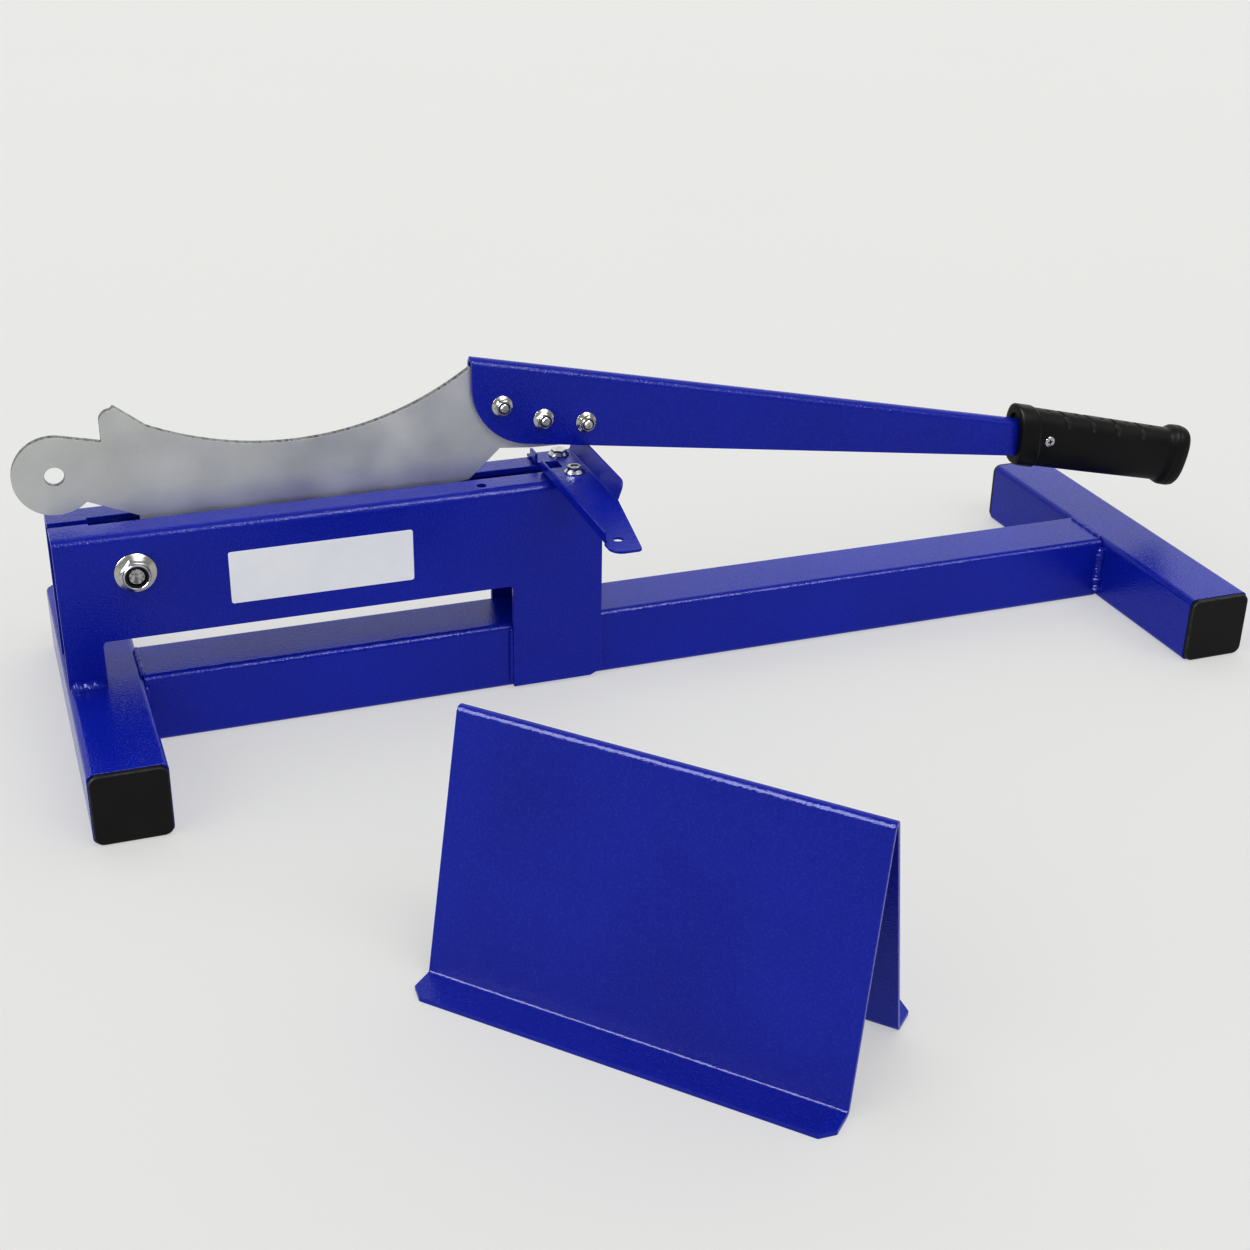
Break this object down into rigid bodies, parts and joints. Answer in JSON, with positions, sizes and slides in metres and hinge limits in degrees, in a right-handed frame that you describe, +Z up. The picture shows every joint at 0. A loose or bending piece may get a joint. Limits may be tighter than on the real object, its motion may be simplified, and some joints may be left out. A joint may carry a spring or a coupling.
{
  "type": "laminate cutter",
  "caption": "Guillotine cutter for laminate boards: a hinged knife on a long lever with a grip, a slotted deck on a square-tube base, a fence and a loose folded stand.",
  "frame": {"origin": "middle of the beam's underside, on the floor, under the plane that the knife swings in", "axes": "+X along the base from the pivot end to the grip, +Y away from the fence's free end, +Z up"},
  "size_m": [0.719, 0.543, 0.195],
  "materials": {
    "blue_paint": "deep blue powder coat with a fine orange-peel grain, half gloss",
    "zinc_plate": "dull zinc-grey steel plate with soft mottling and a bright sheared edge",
    "bright_zinc": "bright zinc plating, slightly yellow in the shade",
    "black_plastic": "black moulded plastic, matt",
    "black_grip": "black moulded grip, satin, with shallow slanted grooves on top",
    "white_label": "plain white adhesive film, blank"
  },
  "bodies": {
    "base": {"base_beam": "blue_paint", "left_foot": "blue_paint", "right_foot": "blue_paint", "left_foot_front_cap": "black_plastic", "left_foot_back_cap": "black_plastic", "right_foot_front_cap": "black_plastic", "right_foot_back_cap": "black_plastic", "housing": "blue_paint", "label": "white_label", "pivot_bolt": "bright_zinc", "pivot_nut": "bright_zinc", "pivot_washer": "bright_zinc", "pivot_spacer_front": "zinc_plate", "pivot_spacer_back": "zinc_plate", "fence": "blue_paint", "fence_bolt_front": "bright_zinc", "fence_bolt_back": "bright_zinc", "fence_nut_front": "bright_zinc", "fence_nut_back": "bright_zinc"},
    "knife_and_lever": {"knife": "zinc_plate", "lever_arm": "blue_paint", "lever_bolt_1": "bright_zinc", "lever_bolt_2": "bright_zinc", "lever_bolt_3": "bright_zinc", "lever_nut_1": "bright_zinc", "lever_nut_2": "bright_zinc", "lever_nut_3": "bright_zinc", "grip": "black_grip", "grip_screw": "bright_zinc"},
    "stand": {"support_stand": "blue_paint"}
  },
  "joints": [
    {"name": "knife_hinge", "type": "hinge", "parent": "base", "child": "knife_and_lever", "pos_m": [-0.2983, 0, 0.1036], "axis": [0, -1, 0], "range_deg": [0, 85]},
    {"name": "stand_slide", "type": "slide", "parent": "base", "child": "stand", "axis": [0, 1, 0], "range_m": [-0.15, 0.08]}
  ]
}
